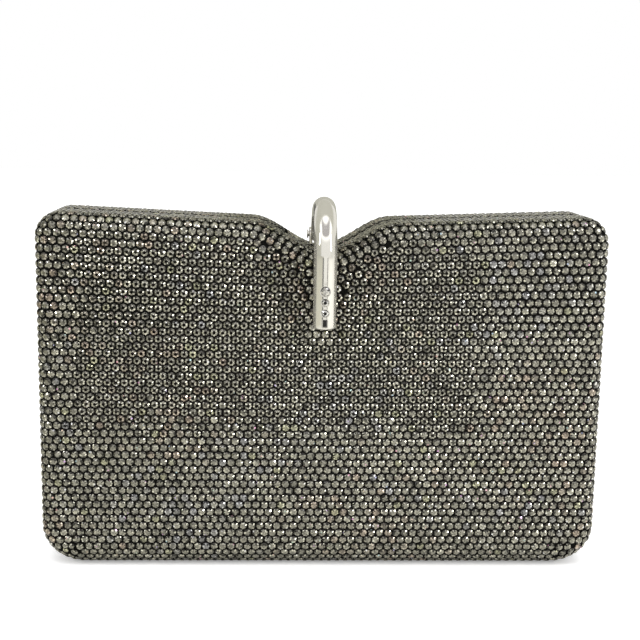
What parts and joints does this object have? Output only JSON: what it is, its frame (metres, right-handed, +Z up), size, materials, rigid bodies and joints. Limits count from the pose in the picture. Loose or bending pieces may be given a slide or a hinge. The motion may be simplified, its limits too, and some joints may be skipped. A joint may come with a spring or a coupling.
{
  "type": "crystal clutch bag",
  "caption": "Rigid box clutch covered in rows of dark faceted crystals, hinged along the bottom, with a polished flip-over hook clasp at the top.",
  "frame": {"origin": "centre of the overall footprint, hook included, on the surface the clutch stands on; the parting plane of the two halves is at y = +4.4 mm", "axes": "+Z up, the front with the hook's leg faces -Y, the width runs along X (left and right as seen from the front: left is -X)"},
  "size_m": [0.178, 0.0454, 0.1182],
  "materials": {
    "hematite_crystal": "net set with close rows of small faceted foil-backed stones, dark pewter grey",
    "painted_alloy": "thin pressed alloy, matt dark paint",
    "satin_lining": "black satin, soft sheen",
    "lining_card": "uncoated stiffener board",
    "polished_chrome": "mirror polished, pale warm silver",
    "spring_steel": "fine brushed",
    "rivet_brass": "satin",
    "clear_stone": "faceted clear stone",
    "bumper_rubber": "matt black"
  },
  "bodies": {
    "rear_half": {"rear_shell": "painted_alloy", "rear_crystal_mesh": "hematite_crystal", "rear_frame": "polished_chrome", "rear_lining": "satin_lining", "rear_lining_card": "lining_card", "rear_pocket": "satin_lining", "rear_hinge_leaf": "spring_steel", "hinge_pin": "spring_steel", "rear_hinge_rivet_1": "rivet_brass", "rear_hinge_rivet_2": "rivet_brass", "rear_hinge_rivet_3": "rivet_brass", "rear_hinge_rivet_4": "rivet_brass", "clasp_bracket": "polished_chrome", "clasp_pin": "polished_chrome", "clasp_leaf_spring": "spring_steel", "clasp_screw_front": "spring_steel", "clasp_screw_rear": "spring_steel", "gusset_left": "satin_lining", "gusset_right": "satin_lining", "hinge_cover": "satin_lining"},
    "front_half": {"front_shell": "painted_alloy", "front_crystal_mesh": "hematite_crystal", "front_frame": "polished_chrome", "front_lining": "satin_lining", "front_lining_card": "lining_card", "front_hinge_leaf": "spring_steel", "front_hinge_rivet_1": "rivet_brass", "front_hinge_rivet_2": "rivet_brass", "front_hinge_rivet_3": "rivet_brass", "front_hinge_rivet_4": "rivet_brass", "front_bumper": "bumper_rubber"},
    "hook": {"clasp_hook": "polished_chrome", "hook_crystal_upper": "clear_stone", "hook_crystal_middle": "clear_stone", "hook_crystal_lower": "clear_stone", "hook_baguette": "clear_stone"}
  },
  "joints": [
    {"name": "shell_open", "type": "hinge", "parent": "rear_half", "child": "front_half", "pos_m": [0, 0.0044, 0.0017], "axis": [1, 0, 0], "range_deg": [0, 25], "deforming": ["gusset_left", "gusset_right", "hinge_cover"]},
    {"name": "clasp_flip", "type": "hinge", "parent": "rear_half", "child": "hook", "pos_m": [0, 0.0147, 0.10494], "axis": [-1, 0, 0], "range_deg": [0, 150]}
  ],
  "couplings": [
    {"joint": "clasp_flip", "follows": "shell_open", "ratio": 6}
  ]
}
